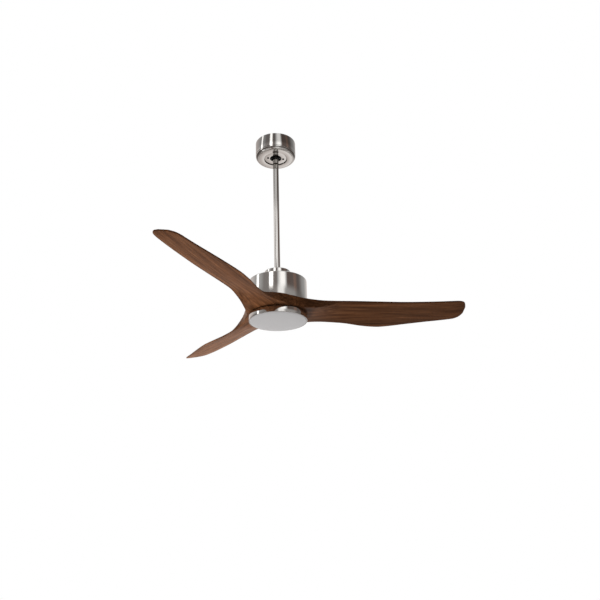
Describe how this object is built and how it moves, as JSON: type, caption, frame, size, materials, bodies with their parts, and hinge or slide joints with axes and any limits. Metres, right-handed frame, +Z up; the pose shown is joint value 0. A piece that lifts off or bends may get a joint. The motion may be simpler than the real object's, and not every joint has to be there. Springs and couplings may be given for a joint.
{
  "type": "ceiling fan with light",
  "caption": "Ceiling fan with solid walnut blades on a brushed nickel motor, hung on a downrod from a round canopy, with a round flat light below.",
  "frame": {"origin": "centre of the hanger bracket's face on the ceiling", "axes": "+Z up into the ceiling along the downrod and the rotor's axis; -Y is the side the fan is seen from; blade_1 points 4.6 degrees from +X towards +Y at rest"},
  "size_m": [1.0415, 1.16, 0.724],
  "materials": {
    "nickel": "brushed and polished",
    "steel": "zinc plated",
    "dark_steel": "black oxide",
    "walnut": "satin lacquer",
    "black_rubber": "matte",
    "black_plastic": "matte",
    "white_plastic": "satin",
    "opal": "frosted acrylic",
    "cast_alloy": "as cast",
    "silicon_steel": "laminated",
    "copper": "enamelled wire",
    "ferrite": "matte",
    "circuit_board": "solder mask",
    "white_board": "white solder mask"
  },
  "bodies": {
    "ceiling_mount": {"hanger_bracket": "dark_steel", "canopy": "nickel", "canopy_screw_1": "dark_steel", "canopy_screw_2": "dark_steel", "receiver_box": "black_plastic", "terminal_block": "white_plastic", "input_lead": "white_plastic", "lead_socket": "white_plastic", "receiver_lead": "black_plastic"},
    "ball_seat": {"ball_seat": "black_rubber"},
    "downrod": {"hanger_ball": "black_plastic", "ball_pin": "steel", "ball_set_screw": "dark_steel", "downrod": "nickel", "cable_plug": "white_plastic", "fan_cable": "black_plastic", "light_cable": "black_plastic", "rod_coupling": "steel", "coupling_pin": "steel", "hairpin_clip": "steel", "coupling_set_screw": "dark_steel", "flange_bolt_1": "steel", "flange_bolt_2": "steel", "flange_bolt_3": "steel", "coupling_cover": "nickel", "motor_cover": "nickel", "motor_shaft": "steel", "driver_board": "circuit_board", "upper_bearing": "steel", "lower_bearing": "steel", "stator_core": "silicon_steel", "upper_winding": "copper", "lower_winding": "copper", "light_upper_nut": "steel", "light_lower_nut": "steel", "light_pan": "steel", "led_driver": "white_plastic", "led_board": "white_board", "light_ring": "nickel", "light_ring_screw_1": "steel", "light_ring_screw_2": "steel", "light_ring_screw_3": "steel", "diffuser_seal": "black_rubber", "diffuser": "opal"},
    "rotor": {"rotor_upper_bell": "cast_alloy", "rotor_lower_bell": "cast_alloy", "magnet_ring": "ferrite", "blade_carrier": "cast_alloy", "blade_1": "walnut", "blade_plate_1": "steel", "blade_bolt_1_1": "steel", "blade_bolt_1_2": "steel", "blade_2": "walnut", "blade_plate_2": "steel", "blade_bolt_2_1": "steel", "blade_bolt_2_2": "steel", "blade_3": "walnut", "blade_plate_3": "steel", "blade_bolt_3_1": "steel", "blade_bolt_3_2": "steel"}
  },
  "joints": [
    {"name": "swing_x", "type": "hinge", "parent": "ceiling_mount", "child": "ball_seat", "pos_m": [0, 0, -0.036], "axis": [1, 0, 0], "range_deg": [-12, 12]},
    {"name": "swing_y", "type": "hinge", "parent": "ball_seat", "child": "downrod", "pos_m": [0, 0, -0.036], "axis": [0, 1, 0], "range_deg": [-12, 12]},
    {"name": "rotor_spin", "type": "hinge", "parent": "downrod", "child": "rotor", "pos_m": [0, 0, -0.68], "axis": [0, 0, 1], "continuous": true}
  ]
}
